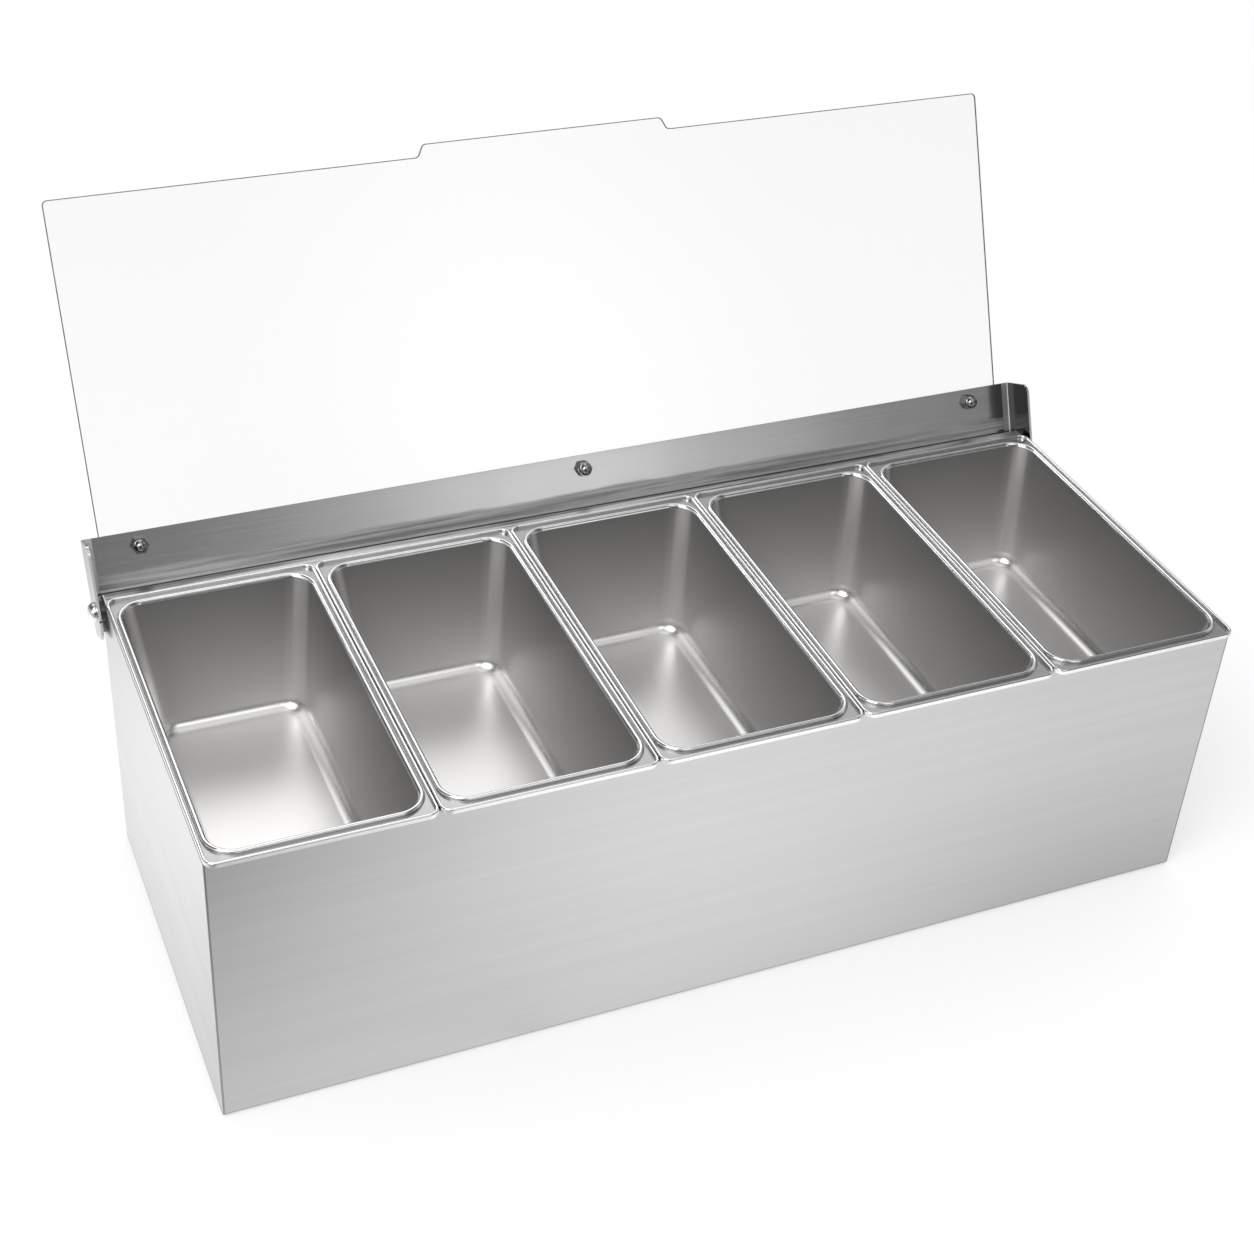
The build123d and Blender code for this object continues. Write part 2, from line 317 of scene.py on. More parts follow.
def show(tree, shader):
    """Links a last shader to the material's output."""
    output = next(n for n in tree.nodes if n.type == "OUTPUT_MATERIAL")
    tree.links.new(shader.outputs[0], output.inputs["Surface"])


def mix_shaders(tree, share, first, second):
    """Two shaders mixed by a share from 0 to 1 of the second."""
    inputs = {0: share, 1: first.outputs[0], 2: second.outputs[0]}
    return add_node(tree, "ShaderNodeMixShader", inputs)


def set_metal(tree, colour, rough):
    """Makes the main shader a metal of a colour and roughness that change over the piece."""
    shader = shader_of(tree)
    tree.links.new(colour, shader.inputs["Base Color"])
    tree.links.new(rough, shader.inputs["Roughness"])
    shader.inputs["Metallic"].default_value = 1.0


def tint(material, share, colour):
    """Mixes another colour into a material, by a share from 0 to 1."""
    tree = material.node_tree
    base = shader_of(tree).inputs["Base Color"]
    before = base.links[0].from_socket
    mix = add_node(tree, "ShaderNodeMix", {0: share, 6: before, 7: colour}, data_type="RGBA")
    tree.links.new(mix.outputs[2], base)


def roughen(material, more):
    """Adds to a material's roughness."""
    tree = material.node_tree
    rough = shader_of(tree).inputs["Roughness"]
    before = rough.links[0].from_socket
    tree.links.new(math_node(tree, "ADD", before, more), rough)


# Materials

def brushed_steel(name, tone, grain, rough, tone_change=0.06, bump=0.04, cloud=9.0):
    """Steel with fine grain along one direction, faint smudges and slightly uneven sheen."""
    material, tree = new_material(name)
    place = place_on_piece(tree)
    fine = noise(tree, place, grain, detail=4.0, roughness=0.65)
    broad = noise(tree, place, [lines * BROAD_GRAIN for lines in grain], detail=2.0)
    smudge = noise(tree, place, (cloud, cloud, cloud))
    streak = math_node(tree, "MULTIPLY_ADD", fine, FINE_SHARE, product(tree, broad, 1 - FINE_SHARE))
    light = vary(tree, streak, 1 - tone_change, 1 + tone_change, smooth=False)
    cloudy = vary(tree, smudge, 1 - tone_change / 2, 1 + tone_change / 2)
    value = product(tree, product(tree, light, cloudy), tone)
    sheen = vary(tree, smudge, rough - SHEEN_CHANGE / 2, rough + SHEEN_CHANGE / 2)
    sheen = math_node(tree, "MULTIPLY_ADD", fine, SHEEN_CHANGE, sheen)
    set_metal(tree, grey_of(tree, value), sheen)
    inputs = {"Height": fine, "Strength": bump, "Distance": GRAIN_RELIEF}
    relief = add_node(tree, "ShaderNodeBump", inputs)
    tree.links.new(relief.outputs["Normal"], shader_of(tree).inputs["Normal"])
    return material


def past_flat(tree, from_middle, half_mouth, inset, share):
    """How far a place lies past the flat of a pan's wall: 0 to 1 round the upright corner."""
    half = math_node(tree, "MULTIPLY_ADD", share, inset, half_mouth - inset - MOUTH_CORNER)
    past = math_node(tree, "SUBTRACT", math_node(tree, "ABSOLUTE", from_middle), half)
    return map_range(tree, past, 0.0, MOUTH_CORNER, smooth=False)


def pressed_steel(name):
    """Satin steel of the pans: walls with painted shade, darker upwards, a painted highlight on the
    upright corners, and a shinier fillet.
    """
    material, tree = new_material(name)
    place = place_on_piece(tree)
    at = split(tree, place)
    height = math_node(tree, "SUBTRACT", at["Z"], MIDDLE_PAN_HIGH.z - PAN_DEPTH)
    share = math_node(tree, "DIVIDE", height, PAN_DEPTH)
    wall = map_range(tree, height, *WALL_HEIGHTS)
    fillet = math_node(tree, "SUBTRACT", map_range(tree, height, *FILLET_HEIGHTS), wall)

    across = math_node(tree, "WRAP", at["X"], PAN_PITCH / 2, -PAN_PITCH / 2)
    along = math_node(tree, "SUBTRACT", at["Y"], (MIDDLE_PAN_LOW.y + MIDDLE_PAN_HIGH.y) / 2)
    past_side = past_flat(tree, across, MOUTH_HALF_X, FLOOR_INSET_X, share)
    past_end = past_flat(tree, along, MOUTH_HALF_Y, FLOOR_INSET_Y, share)
    corner = product(tree, product(tree, past_side, past_end), CORNER_GAIN)
    corner = product(tree, map_range(tree, corner, *CORNER_SPAN), wall)

    # Painted shade on the walls, darker upwards, and a painted highlight on the upright corners
    wall_shade_tone = map_range(tree, share, 0.0, 1.0, *WALL_SHADE_TONES, smooth=False)
    wall_more = math_node(tree, "SUBTRACT", wall_shade_tone, FLOOR_TONE)
    corner_highlight_more = math_node(tree, "SUBTRACT", CORNER_HIGHLIGHT_TONE, wall_shade_tone)
    tone = math_node(tree, "MULTIPLY_ADD", wall, wall_more, FLOOR_TONE)
    tone = math_node(tree, "MULTIPLY_ADD", fillet, FILLET_TONE - FLOOR_TONE, tone)
    tone = math_node(tree, "MULTIPLY_ADD", corner, corner_highlight_more, tone)
    grain = noise(tree, place, (PAN_GRAIN,) * 3, detail=2.0)
    cloud = noise(tree, place, (PAN_CLOUD,) * 3, detail=1.0)
    fine = vary(tree, grain, *PAN_GRAIN_TONES, smooth=False)
    value = product(tree, product(tree, fine, vary(tree, cloud, *PAN_CLOUD_TONES)), tone)
    red = product(tree, value, 1 + PAN_WARMTH)
    blue = product(tree, value, 1 - PAN_WARMTH)

    rough = vary(tree, cloud, *(FLOOR_ROUGHNESS * sheen for sheen in PAN_SHEEN))
    rough = math_node(tree, "MULTIPLY_ADD", wall, WALL_ROUGHNESS - FLOOR_ROUGHNESS, rough)
    rough = math_node(tree, "MULTIPLY_ADD", fillet, FILLET_ROUGHNESS - FLOOR_ROUGHNESS, rough)
    rough = math_node(tree, "MULTIPLY_ADD", corner, CORNER_ROUGHNESS - WALL_ROUGHNESS, rough)
    set_metal(tree, colour_of(tree, red, value, blue), rough)
    return material


def streaks(tree, place, dark, light):
    """A grey streaked along X, between a dark and a light tone."""
    uneven = noise(tree, place, STREAK_GRAIN, detail=4.0, roughness=0.7)
    return grey_of(tree, map_range(tree, uneven, *STREAK_SPAN, dark, light, smooth=False))


def on_ears(tree, at):
    """1 on the bracket's ears, which lie beyond the housing's ends, and 0 on its strip."""
    return math_node(tree, "GREATER_THAN", math_node(tree, "ABSOLUTE", at["X"]), HOUSING_HIGH.x)


def mark_ears(material):
    """Paints shade on the ears' inner sides, and paints highlights on their folds and front edges,
    which it also dulls.
    """
    tree = material.node_tree
    at = split(tree, place_on_piece(tree))
    facing = facing_of(tree)
    outward = product(tree, math_node(tree, "SIGN", at["X"]), facing["X"])
    # Painted shade on the inner sides
    inner = map_range(tree, outward, *INNER_EAR_FACING, 1.0, 0.0)
    tint(material, inner, grey(INNER_EAR_SHADE_TONE))
    # Painted highlight along the folds
    off_fold = math_node(tree, "ABSOLUTE", math_node(tree, "ADD", outward, FOLD_TURN))
    fold = map_range(tree, off_fold, *FOLD_SPAN, 1.0, 0.0)
    fold = product(tree, fold, map_range(tree, facing["Y"], *FOLD_FRONT_FACING))
    tint(material, fold, WHITE)
    # Painted highlight on the front edges
    front = product(tree, map_range(tree, facing["Y"], *FRONT_FACING), on_ears(tree, at))
    tint(material, front, WHITE)
    roughen(material, product(tree, math_node(tree, "MAXIMUM", fold, front), FOLD_DULLED))


def mark_strip(material):
    """Paints streaked shade on the strip's foot and dulls it, with a painted highlight line along
    it and a painted shade line below.
    """
    tree = material.node_tree
    place = place_on_piece(tree)
    at = split(tree, place)
    front = map_range(tree, facing_of(tree)["Y"], *FRONT_FACING)
    uneven = noise(tree, place, RAGGED_GRAIN, detail=4.0)
    ragged = vary(tree, uneven, -STRIP_BAND_RAGGED, STRIP_BAND_RAGGED)
    band_top = math_node(tree, "ADD", ragged, STRIP_LINE + STRIP_BAND)
    over_band = math_node(tree, "SUBTRACT", at["Z"], band_top)
    band = map_range(tree, over_band, -STRIP_BAND_FADE, 0.0, 1.0, 0.0)
    on_strip = math_node(tree, "SUBTRACT", 1.0, on_ears(tree, at))
    foot = product(tree, product(tree, front, band), on_strip)
    # Painted shade in streaks on the strip's foot
    tint(material, foot, streaks(tree, place, *STRIP_FOOT_SHADE_TONES))
    # A painted highlight line, and a painted shade line below it
    lines = 0.0
    for height, tone in ((STRIP_LINE, HIGHLIGHT_LINE_TONE), (STRIP_LINE - STRIP_LINE_WIDTH, SHADE_LINE_TONE)):
        off_line = math_node(tree, "ABSOLUTE", math_node(tree, "SUBTRACT", at["Z"], height))
        line = product(tree, front, map_range(tree, off_line, *STRIP_LINE_EDGE, 1.0, 0.0))
        tint(material, line, grey(tone))
        lines = math_node(tree, "MAXIMUM", lines, line)
    dull = product(tree, foot, math_node(tree, "SUBTRACT", 1.0, lines))
    roughen(material, product(tree, dull, STRIP_FOOT_DULLED))


def paint_shelf_reflection(material):
    """Paints a darker reflection of the strip onto the narrow shelf behind the pans, in streaks
    along the brushing.
    """
    tree = material.node_tree
    place = place_on_piece(tree)
    high = map_range(tree, split(tree, place)["Z"], *SHELF_HEIGHTS)
    upward = map_range(tree, facing_of(tree)["Z"], *SHELF_FACING)
    tint(material, product(tree, high, upward), streaks(tree, place, *SHELF_REFLECTION_TONES))


def shade_foot(material):
    """Paints a contact shadow on the lowest two millimetres of a panel's outside."""
    tree = material.node_tree
    height = split(tree, place_on_piece(tree))["Z"]
    low = map_range(tree, height, *PANEL_FOOT_HEIGHTS, PANEL_FOOT_SHARE, 0.0)
    upright = map_range(tree, facing_of(tree)["Z"], *PANEL_FOOT_FACING, 1.0, 0.0)
    tint(material, product(tree, low, upright), grey(PANEL_FOOT_SHADOW_TONE))


def brighten_inside(material):
    """Lightens the steel inside the housing, which little light reaches.

    Its walls are the faces that look inward and lie well off the middle."""
    tree = material.node_tree
    at = split(tree, place_on_piece(tree))
    facing = facing_of(tree)
    across = product(tree, at["X"], facing["X"])
    outward = math_node(tree, "MULTIPLY_ADD", at["Y"], facing["Y"], across)
    wall = map_range(tree, outward, *INSIDE_WALL_REACH)
    low = map_range(tree, at["Z"], *INSIDE_FLOOR_HEIGHTS, 1.0, 0.0)
    floor = product(tree, low, map_range(tree, facing["Z"], *INSIDE_FLOOR_FACING))
    tint(material, math_node(tree, "MAXIMUM", wall, floor), grey(INSIDE_PAINTED_LIGHT_TONE))


def shade_cut_edge(material):
    """Darkens the end panels' front edges, which show beside the front as a thin line."""
    front = map_range(material.node_tree, facing_of(material.node_tree)["Y"], *CUT_EDGE_FACING)
    tint(material, front, grey(CUT_EDGE_TONE))


def polished_metal(name, tone, rough):
    """Bright plated metal with faint wiping marks."""
    material, tree = new_material(name)
    marks = noise(tree, place_on_piece(tree), (PLATING_GRAIN,) * 3)
    value = vary(tree, marks, *(tone * share for share in PLATING_TONES))
    sheen = vary(tree, marks, *(rough * share for share in PLATING_SHEEN))
    set_metal(tree, grey_of(tree, value), sheen)
    return material


def clear_sheet(name):
    """Clear plastic with faint marks, which lets lamps and soft light through."""
    material, tree = new_material(name)
    marks = noise(tree, place_on_piece(tree), (PLASTIC_GRAIN,) * 3, detail=4.0)
    rough = map_range(tree, marks, *PLASTIC_MARKS_SPAN, *PLASTIC_ROUGHNESS)
    shader = shader_of(tree)
    tree.links.new(rough, shader.inputs["Roughness"])
    shader.inputs["Base Color"].default_value = grey(PLASTIC_TONE)
    shader.inputs["Transmission Weight"].default_value = 1.0
    shader.inputs["IOR"].default_value = PLASTIC_IOR
    path = add_node(tree, "ShaderNodeLightPath").outputs
    passes = math_node(tree, "MAXIMUM", path["Is Shadow Ray"], path["Is Diffuse Ray"])
    through = add_node(tree, "ShaderNodeBsdfTransparent", {"Color": grey(PLASTIC_SHADOW_TONE)})
    show(tree, mix_shaders(tree, passes, shader, through))
    return material


def sheet_edge(name):
    """The polished edge of the clear sheet, painted an opaque dark grey as painted shade, so that
    it shows as a grey line.
    """
    material, tree = new_material(name)
    shader = shader_of(tree)
    marks = noise(tree, place_on_piece(tree), (EDGE_GRAIN,) * 3)
    tree.links.new(grey_of(tree, vary(tree, marks, *EDGE_SHADE_TONES)), shader.inputs["Base Color"])
    tree.links.new(vary(tree, marks, *EDGE_ROUGHNESS), shader.inputs["Roughness"])
    return material


# Meshes for the pans

# Material slots
INSIDE, POLISHED, GROOVE = 0, 1, 2

CORNER_STEPS = 16
ROUND_STEPS = 6
FILLET_STEPS = 12
SHARP_ANGLE = 40

# The share of the floor fillet's radius that its loops cover, and the wall's loops over it
FILLET_REACH = 0.95
WALL_SHARES = (0.35, 0.7, 0.99)


def loop_points(half_x, half_y, corner, z, middle):
    """A rounded rectangle at height z, as points round its four corners."""
    points = []
    for quarter in range(4):
        side_x = 1 if quarter in (0, 3) else -1
        side_y = 1 if quarter in (0, 1) else -1
        for step in range(CORNER_STEPS + 1):
            angle = math.radians(90 * (quarter + step / CORNER_STEPS))
            x = side_x * (half_x - corner) + corner * math.cos(angle)
            y = side_y * (half_y - corner) + corner * math.sin(angle)
            points.append(Vector((middle.x + x, middle.y + y, z)))
    return points


def wall_loop(height, out, middle, floor_z):
    """The tub's wall at a height over its floor, out by some distance, with the floor fillet."""
    halves = []
    insets = []
    for half, inset in ((MOUTH_HALF_X, FLOOR_INSET_X), (MOUTH_HALF_Y, FLOOR_INSET_Y)):
        slope = inset / PAN_DEPTH
        angle = math.atan(slope)
        radius = FLOOR_FILLET + out
        rise = height + out
        tangent = radius * math.tan((math.pi / 2 - angle) / 2)
        base = half - inset + out - slope * out
        if rise < radius * (1 - math.sin(angle)):
            back = tangent - math.sqrt(max(radius ** 2 - (radius - rise) ** 2, 0))
            halves.append(base - back)
            insets.append(back)
        else:
            halves.append(base + rise * slope)
            insets.append(0.0)
    share = height / PAN_DEPTH
    corner = FLOOR_CORNER + (MOUTH_CORNER - FLOOR_CORNER) * share + out - sum(insets) / 2
    return loop_points(halves[0], halves[1], corner, floor_z + height, middle)


def fillet_heights(out):
    """Heights over the floor of the loops that make the floor fillet round."""
    radius = FLOOR_FILLET + out
    for step in range(FILLET_STEPS + 1):
        angle = math.radians(90 * step / FILLET_STEPS)
        yield radius * (1 - math.cos(angle)) * FILLET_REACH - out


def rounding(radius, side_first=True):
    """Steps along a rounded edge: how far in from its upright side, and from its flat."""
    for step in range(ROUND_STEPS + 1):
        angle = math.radians(90 * step / ROUND_STEPS)
        near = radius * (1 - math.cos(angle))
        far = radius * (1 - math.sin(angle))
        yield (near, far) if side_first else (far, near)


def pan_loops(low, high):
    """One pan's loops with their slots: floor, walls, bead, groove, lip, outside of the tub."""
    top = high.z
    floor_z = top - PAN_DEPTH
    rim_under = top - RIM_HEIGHT
    groove_z = rim_under + PAN_SHEET
    half_x = (high.x - low.x) / 2
    half_y = (high.y - low.y) / 2
    middle = Vector(((low.x + high.x) / 2, (low.y + high.y) / 2, 0))
    loops = []

    def add_wall(height, out, slot):
        """Adds a loop of the tub's wall."""
        loops.append((wall_loop(height, out, middle, floor_z), slot))

    def add_mouth(out, z, slot):
        """Adds a loop out from the mouth."""
        corner = MOUTH_CORNER + out
        points = loop_points(MOUTH_HALF_X + out, MOUTH_HALF_Y + out, corner, z, middle)
        loops.append((points, slot))

    def add_rim(inward, z, slot):
        """Adds a loop inward from the rim's outer edge."""
        points = loop_points(half_x - inward, half_y - inward, RIM_CORNER - inward, z, middle)
        loops.append((points, slot))

    for height in fillet_heights(0):
        add_wall(height, 0, INSIDE)
    for share in WALL_SHARES:
        add_wall((PAN_DEPTH - BEAD_ROUND) * share, 0, INSIDE)
    add_wall(PAN_DEPTH - BEAD_ROUND, 0, POLISHED)
    for side, flat in list(rounding(BEAD_ROUND))[1:]:
        add_mouth(side, top - flat, POLISHED)
    for side, flat in rounding(BEAD_ROUND, side_first=False):
        add_mouth(BEAD_WIDTH - side, top - flat, POLISHED)
    for side, flat in rounding(GROOVE_ROUND):
        add_mouth(BEAD_WIDTH + side, groove_z + flat, GROOVE)
    for side, flat in rounding(GROOVE_ROUND, side_first=False):
        add_rim(LIP_WIDTH + side, groove_z + flat, GROOVE)
    for side, flat in rounding(LIP_ROUND):
        add_rim(LIP_WIDTH - side, top - flat, POLISHED)
    for side, flat in rounding(LIP_ROUND, side_first=False):
        add_rim(side, top - flat, POLISHED)
    for side, flat in rounding(UNDER_ROUND):
        add_rim(side, rim_under + flat, POLISHED)
    add_wall(PAN_DEPTH - RIM_HEIGHT, PAN_SHEET, INSIDE)
    for height in reversed(list(fillet_heights(PAN_SHEET))):
        add_wall(height, PAN_SHEET, INSIDE)
    return loops


def settle_normals(piece):
    """Smooth shading in which each large flat face keeps its own normal up to its edges."""
    piece.data.set_sharp_from_angle(angle=math.radians(SHARP_ANGLE))
    weighted = piece.modifiers.new("normals", "WEIGHTED_NORMAL")
    weighted.keep_sharp = True
    bpy.context.view_layer.update()
    depsgraph = bpy.context.evaluated_depsgraph_get()
    finished = bpy.data.meshes.new_from_object(piece.evaluated_get(depsgraph))
    piece.modifiers.clear()
    piece.data = finished


def make_pan(name, materials):
    """One pan as a single skin through its loops, closed by its floor inside and outside."""
    mesh = bpy.data.meshes.new(name + "_formed")
    shape = bmesh.new()
    loops = pan_loops(*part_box(name))
    rings = [[shape.verts.new(point) for point in points] for points, _ in loops]
    count = len(rings[0])
    for index in range(1, len(rings)):
        below = rings[index - 1]
        above = rings[index]
        for side in range(count):
            after = (side + 1) % count
            face = shape.faces.new((below[side], below[after], above[after], above[side]))
            face.material_index = loops[index][1]
            face.smooth = True
    shape.faces.new(reversed(rings[0])).smooth = True
    shape.faces.new(rings[-1]).smooth = True
    bmesh.ops.recalc_face_normals(shape, faces=shape.faces)
    shape.to_mesh(mesh)
    shape.free()
    for material in materials:
        mesh.materials.append(material)
    pan = bpy.data.objects.new(name + "_formed", mesh)
    bpy.context.scene.collection.objects.link(pan)
    settle_normals(pan)
    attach(pan, name + "_body")
    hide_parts(name)


# The lid: a clear sheet against the back of the strip
# Its outline is drawn flat: across, and up along the strip from the strip's foot

STRIP_LEAN = math.radians(24)
UP_STRIP = Vector((0, math.sin(STRIP_LEAN), math.cos(STRIP_LEAN)))
OUT_OF_STRIP = Vector((0, -math.cos(STRIP_LEAN), math.sin(STRIP_LEAN)))
STRIP_FOOT = Vector((0, 96.8, 123.22)) * MM
STRIP_SHEET = 1.2 * MM
LID_SHEET = 1.5 * MM
LID_HALF_WIDTH = 238.1 * MM
LID_LOW = 29.0 * MM
LID_FREE = 195.9 * MM
LID_CORNER = 2.5 * MM
LID_EDGE_ROUND = 0.45 * MM
TAB_TIP = 201.7 * MM
TAB_HALF_TIP = 61.0 * MM
TAB_HALF_BASE = 64.0 * MM
FASTENER_X = 220.4 * MM
FASTENER_UP = 37.3 * MM
LID_HOLE = 2.08 * MM
HOLE_STEPS = 24
OUTLINE_STEPS = 8
EDGE_STEPS = 2
FLAT_FACING = 0.99


def rounded_outline(corners, radius):
    """A closed outline through its corners, each turned with the given radius."""
    points = []
    for index, corner in enumerate(corners):
        before = (corners[index - 1] - corner).normalized()
        after = (corners[(index + 1) % len(corners)] - corner).normalized()
        half = before.angle(after) / 2
        reach = radius / math.tan(half)
        middle = corner + (before + after).normalized() * radius / math.sin(half)
        start = corner + before * reach - middle
        turn = start.angle_signed(corner + after * reach - middle)
        for step in range(OUTLINE_STEPS + 1):
            angle = -turn * step / OUTLINE_STEPS
            x = start.x * math.cos(angle) - start.y * math.sin(angle)
            y = start.x * math.sin(angle) + start.y * math.cos(angle)
            points.append(middle + Vector((x, y)))
    return points


def lid_outlines():
    """The lid's edge with its finger tab, and its three screw holes."""
    right_half = [
        (LID_HALF_WIDTH, LID_LOW),
        (LID_HALF_WIDTH, LID_FREE),
        (TAB_HALF_BASE, LID_FREE),
        (TAB_HALF_TIP, TAB_TIP),
    ]
    left_half = [(-x, y) for x, y in reversed(right_half)]
    outlines = [rounded_outline([Vector(point) for point in right_half + left_half], LID_CORNER)]
    for x in (-FASTENER_X, 0.0, FASTENER_X):
        hole = []
        for step in range(HOLE_STEPS):
            angle = math.radians(360 * step / HOLE_STEPS)
            up = FASTENER_UP + LID_HOLE * math.sin(angle)
            hole.append(Vector((x + LID_HOLE * math.cos(angle), up)))
        outlines.append(hole)
    return outlines


def make_lid(face_material, edge_material):
    """The lid's sheet with its finger tab, its screw holes and its polished edges."""
    curve = bpy.data.curves.new("lid_outline", "CURVE")
    curve.dimensions = "2D"
    curve.fill_mode = "BOTH"
    curve.extrude = LID_SHEET / 2 - LID_EDGE_ROUND
    curve.bevel_depth = LID_EDGE_ROUND
    curve.bevel_resolution = EDGE_STEPS
    curve.offset = -LID_EDGE_ROUND
    for outline in lid_outlines():
        spline = curve.splines.new("POLY")
        spline.points.add(len(outline) - 1)
        for point, place in zip(spline.points, outline):
            point.co = (place.x, place.y, 0, 1)
        spline.use_cyclic_u = True
    drawn = bpy.data.objects.new("lid_outline", curve)
    mesh = bpy.data.meshes.new_from_object(drawn)
    bpy.data.objects.remove(drawn)
    mesh.materials.clear()
    mesh.materials.append(face_material)
    mesh.materials.append(edge_material)
    for polygon in mesh.polygons:
        polygon.material_index = 0 if abs(polygon.normal.z) > FLAT_FACING else 1
        polygon.use_smooth = True
    centre = STRIP_FOOT - OUT_OF_STRIP * (STRIP_SHEET + LID_SHEET / 2)
    turn = Matrix(((1, 0, 0), UP_STRIP, OUT_OF_STRIP)).transposed().to_4x4()
    mesh.transform(Matrix.Translation(centre) @ turn)
    lid = bpy.data.objects.new("lid_sheet", mesh)
    bpy.context.scene.collection.objects.link(lid)
    settle_normals(lid)
    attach(lid, "lid")
    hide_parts("lid_panel")


# Pieces that keep the shape of their CAD solid

def paint(name, material):
    """Gives a CAD node its material."""
    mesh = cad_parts[name].data
    mesh.materials.clear()
    mesh.materials.append(material)


# Surroundings: a white floor, a white background, and a lamp

# What the camera and the metal see of the ground changes with how far off it is
GROUND_REACH = 6.0
GROUND_TONE = 0.62
GROUND_ROUGHNESS = 0.8
GROUND_GLOW = 0.4
GROUND_WHITE_SPAN = (0.9, 2.2)
GROUND_FAR_SHEEN = 0.5
GROUND_SHEEN_SPAN = (0.5, 0.9)

# Brighter patches of ground that the metal reflects: centre x, y, reach and strength
GROUND_PATCHES = (
    (0.03, -0.24, 0.42, 1.08),
    (-0.42, 0.13, 0.55, 1.25),
    (0.4, -0.32, 0.37, 0.85),
    (0.52, 0.08, 0.42, 0.8),
    (0.16, 0.32, 0.42, 0.8),
)

# Soft panels of the studio that the metal reflects: the compass angle (0 front, 90 right)
# and the height angle of a panel's middle, the spread of each, and the strength
STUDIO_DIM = 0.08
SOFT_PANELS = (
    (5, 46, 45, 16, 1.8),
    (40, 64, 70, 20, 0.7),
    (0, 90, 900, 30, 0.95),
    (100, 36, 45, 20, 0.7),
    (170, 45, 50, 31, 1.85),
    (-62, 20, 40, 22, 1.4),
    (22, 12, 30, 20, 0.22),
    (19.5, 12, 9, 20, 0.75),
    (-100, 12, 45, 18, 0.6),
    (70, 12, 35, 18, 0.3),
)

# The world's strength as light, where it is neither seen nor reflected
PLAIN_LIGHT = 0.9

HALF_TURN = 180.0


def rays(tree):
    """1 for rays that see a thing straight or through the lid, and 1 for rays off metal."""
    path = add_node(tree, "ShaderNodeLightPath").outputs
    seen = math_node(tree, "MAXIMUM", path["Is Camera Ray"], path["Is Transmission Ray"])
    return seen, math_node(tree, "GREATER_THAN", path["Glossy Depth"], 0.5)


def distance(tree, across, along):
    """How far away a place is, from how far it is across and along."""
    squares = math_node(tree, "MULTIPLY_ADD", across, across, product(tree, along, along))
    return math_node(tree, "SQRT", squares)


def glow(tree, strength):
    """White light from a surface."""
    return add_node(tree, "ShaderNodeEmission", {"Color": WHITE, "Strength": strength})


def ground_patch(tree, at, x, y, reach, strength):
    """A soft round patch on the ground."""
    across = math_node(tree, "SUBTRACT", at["X"], x)
    along = math_node(tree, "SUBTRACT", at["Y"], y)
    return map_range(tree, distance(tree, across, along), 0.0, reach, strength, 0.0)


def ground_white(name):
    """A pale floor that is white far off, and that shows brighter patches to the metal."""
    material, tree = new_material(name)
    shader = shader_of(tree)
    shader.inputs["Base Color"].default_value = grey(GROUND_TONE)
    shader.inputs["Roughness"].default_value = GROUND_ROUGHNESS
    shader.inputs["Specular IOR Level"].default_value = 0.0
    at = split(tree, place_on_piece(tree))
    away = distance(tree, at["X"], at["Y"])
    sheen = map_range(tree, away, *GROUND_SHEEN_SPAN, 0.0, GROUND_FAR_SHEEN)
    for patch in GROUND_PATCHES:
        sheen = math_node(tree, "ADD", ground_patch(tree, at, *patch), sheen)
    seen, off_metal = rays(tree)
    lit = glow(tree, product(tree, seen, GROUND_GLOW))
    near = add_node(tree, "ShaderNodeAddShader", {0: shader.outputs[0], 1: lit.outputs[0]})
    far = product(tree, seen, map_range(tree, away, *GROUND_WHITE_SPAN))
    pale = mix_shaders(tree, far, near, glow(tree, 1.0))
    show(tree, mix_shaders(tree, off_metal, pale, glow(tree, sheen)))
    return material


def make_floor():
    """A wide pale floor that keeps the object's shadow."""
    mesh = bpy.data.meshes.new("floor")
    reach = GROUND_REACH
    corners = [(-reach, -reach, 0), (reach, -reach, 0), (reach, reach, 0), (-reach, reach, 0)]
    mesh.from_pydata(corners, [], [(0, 1, 2, 3)])
    mesh.materials.append(ground_white("floor_white"))
    floor = bpy.data.objects.new("floor", mesh)
    bpy.context.scene.collection.objects.link(floor)


def soft_panel(tree, compass, height, centre, middle, spread, tall, strength):
    """A soft-edged light in the studio that the metal reflects."""
    aside = math_node(tree, "SUBTRACT", compass, centre)
    aside = math_node(tree, "ABSOLUTE", math_node(tree, "WRAP", aside, HALF_TURN, -HALF_TURN))
    across = map_range(tree, aside, 0.0, spread, strength, 0.0)
    off_level = math_node(tree, "ABSOLUTE", math_node(tree, "SUBTRACT", height, middle))
    return product(tree, across, map_range(tree, off_level, 0.0, tall, 1.0, 0.0))


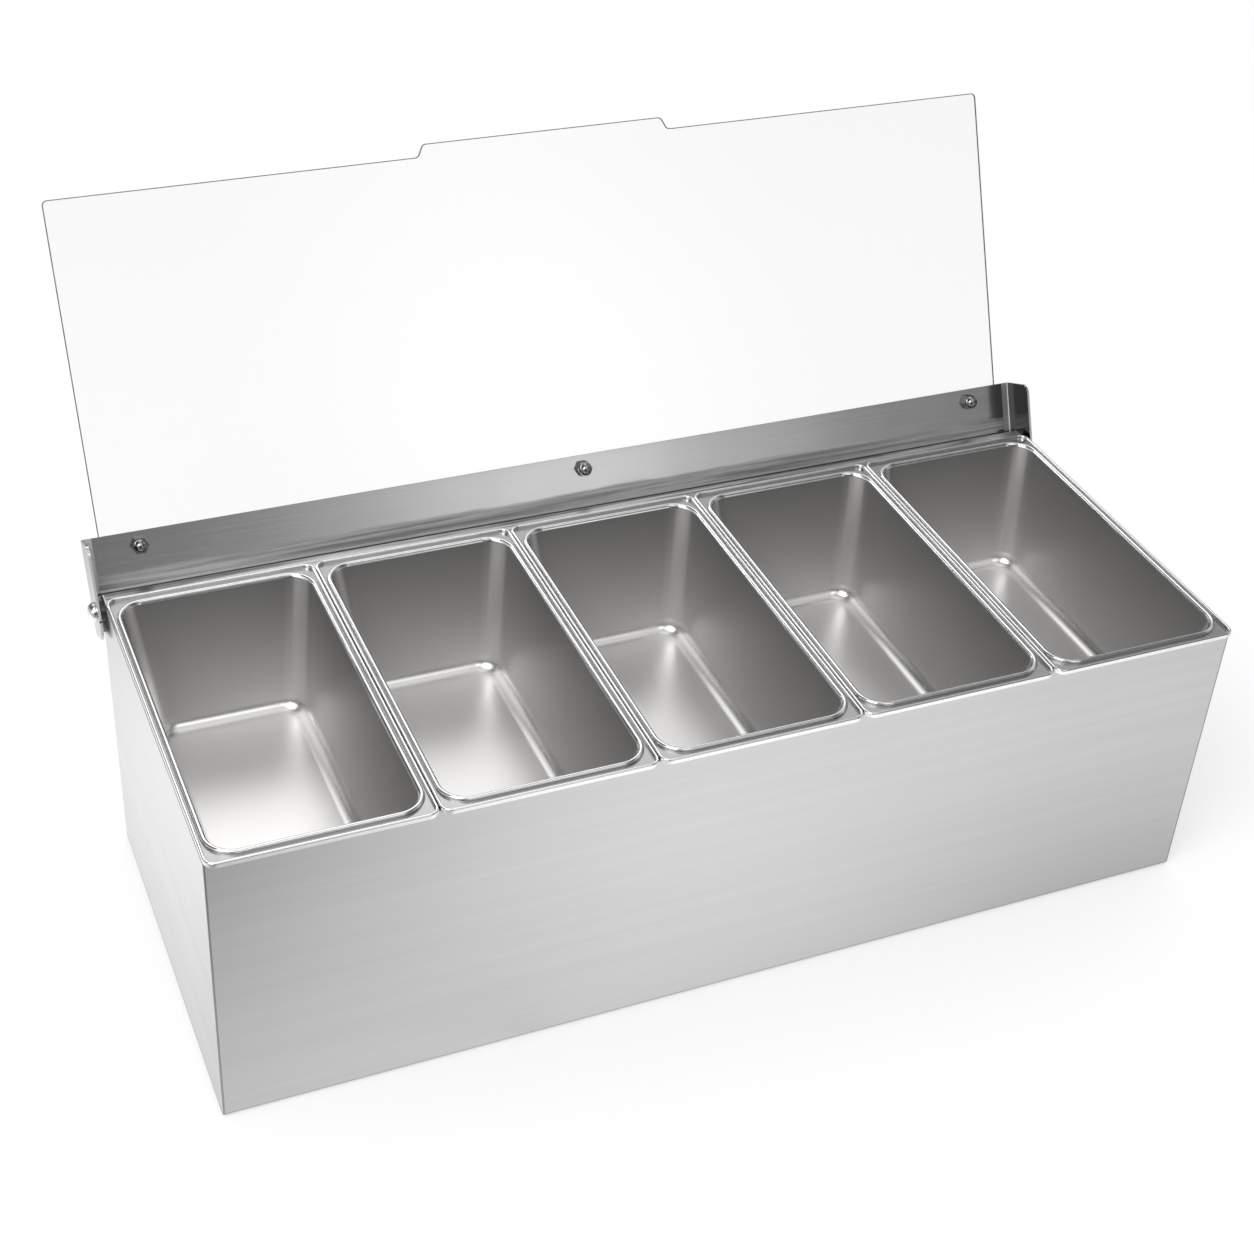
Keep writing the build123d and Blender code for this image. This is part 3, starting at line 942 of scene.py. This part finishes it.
def make_world():
    """White behind the object, plain light on it, and a studio for the metal to reflect."""
    world = bpy.data.worlds.new("studio")
    bpy.context.scene.world = world
    # The world's own light sampling doesn't follow the switch to the studio for the metal
    world.cycles.sampling_method = "NONE"
    world.use_nodes = True
    tree = world.node_tree
    tree.nodes.clear()
    output = add_node(tree, "ShaderNodeOutputWorld")
    way = split(tree, add_node(tree, "ShaderNodeTexCoord").outputs["Generated"])
    compass = math_node(tree, "ARCTAN2", way["X"], product(tree, way["Y"], -1.0))
    compass = product(tree, compass, HALF_TURN / math.pi)
    height = product(tree, math_node(tree, "ARCSINE", way["Z"]), HALF_TURN / math.pi)
    studio = STUDIO_DIM
    for panel in SOFT_PANELS:
        studio = math_node(tree, "ADD", soft_panel(tree, compass, height, *panel), studio)
    seen, off_metal = rays(tree)
    direct = math_node(tree, "MULTIPLY_ADD", seen, 1 - PLAIN_LIGHT, PLAIN_LIGHT)
    more = math_node(tree, "SUBTRACT", studio, direct)
    strength = math_node(tree, "MULTIPLY_ADD", off_metal, more, direct)
    back = add_node(tree, "ShaderNodeBackground", {"Color": WHITE, "Strength": strength})
    tree.links.new(back.outputs[0], output.inputs["Surface"])


def make_lamp(name, place, aim, size, power):
    """A square soft lamp at a place, turned towards its aim."""
    data = bpy.data.lights.new(name, "AREA")
    data.size = size
    data.energy = power
    lamp = bpy.data.objects.new(name, data)
    turn = (Vector(place) - Vector(aim)).to_track_quat("Z", "Y")
    lamp.matrix_world = Matrix.Translation(place) @ turn.to_matrix().to_4x4()
    bpy.context.scene.collection.objects.link(lamp)


make_camera()
make_world()
make_floor()
make_lamp("key_lamp", place=(-0.9, -0.6, 1.4), aim=(0, 0, 0.1), size=0.9, power=9.0)

housing_steel = brushed_steel(
    "housing_brushed", tone=0.72, grain=GRAIN_ALONG_X, rough=0.3, tone_change=0.045, cloud=5.0
)
# Painted light: the end panels are the housing's steel in a lighter tone
end_steel_lit = brushed_steel("end_brushed", tone=0.82, grain=GRAIN_ALONG_Y, rough=0.3)
paint_shelf_reflection(housing_steel)
for panel_steel in (housing_steel, end_steel_lit):
    shade_foot(panel_steel)
    brighten_inside(panel_steel)
shade_cut_edge(end_steel_lit)
bracket_steel = brushed_steel(
    "bracket_brushed", tone=0.74, grain=GRAIN_ALONG_X, rough=0.14, bump=0.01
)
mark_ears(bracket_steel)
mark_strip(bracket_steel)
pan_inside = pressed_steel("pan_inside")
pan_bead = polished_metal("pan_bead", tone=0.97, rough=0.1)
# Painted shade: the groove round each pan's rim is the same steel in a darker tone
pan_groove_shaded = brushed_steel("pan_groove_shaded", tone=0.5, grain=GRAIN_ALONG_X, rough=0.28)
screw_chrome = polished_metal("screw_chrome", tone=0.8, rough=0.06)
# Painted shade: the cap nuts are the same chrome in a darker tone
cap_chrome_shaded = polished_metal("cap_chrome_shaded", tone=0.42, rough=0.06)
# Painted light: the pivot screws are the same chrome in a lighter tone
pivot_chrome_lit = polished_metal("pivot_chrome_lit", tone=0.95, rough=0.24)
turned_steel = brushed_steel("turned_steel", tone=0.6, grain=TURNED_GRAIN, rough=0.3)
# Painted shade: the spacers are steel in a near-black tone, for the shade between ear and panel
spacer_painted_shade = brushed_steel("spacer_painted_shade", tone=0.12, grain=TURNED_GRAIN, rough=0.4)
lid_clear = clear_sheet("lid_clear")
lid_edge = sheet_edge("lid_edge")

for pan_name in PAN_NAMES:
    make_pan(pan_name, (pan_inside, pan_bead, pan_groove_shaded))
paint("housing_shell", housing_steel)
for side in SIDES:
    paint(f"end_panel_{side}", end_steel_lit)
    paint(f"pivot_screw_{side}", pivot_chrome_lit)
    paint(f"pivot_spacer_{side}", spacer_painted_shade)
    paint(f"pivot_nut_{side}", turned_steel)
paint("hinge_bracket", bracket_steel)
make_lid(lid_clear, lid_edge)
for place in PLACES:
    paint(f"cap_nut_{place}", cap_chrome_shaded)
    paint(f"lid_screw_{place}", screw_chrome)
    paint(f"lid_washer_{place}", turned_steel)

bpy.context.scene.view_settings.view_transform = "Standard"
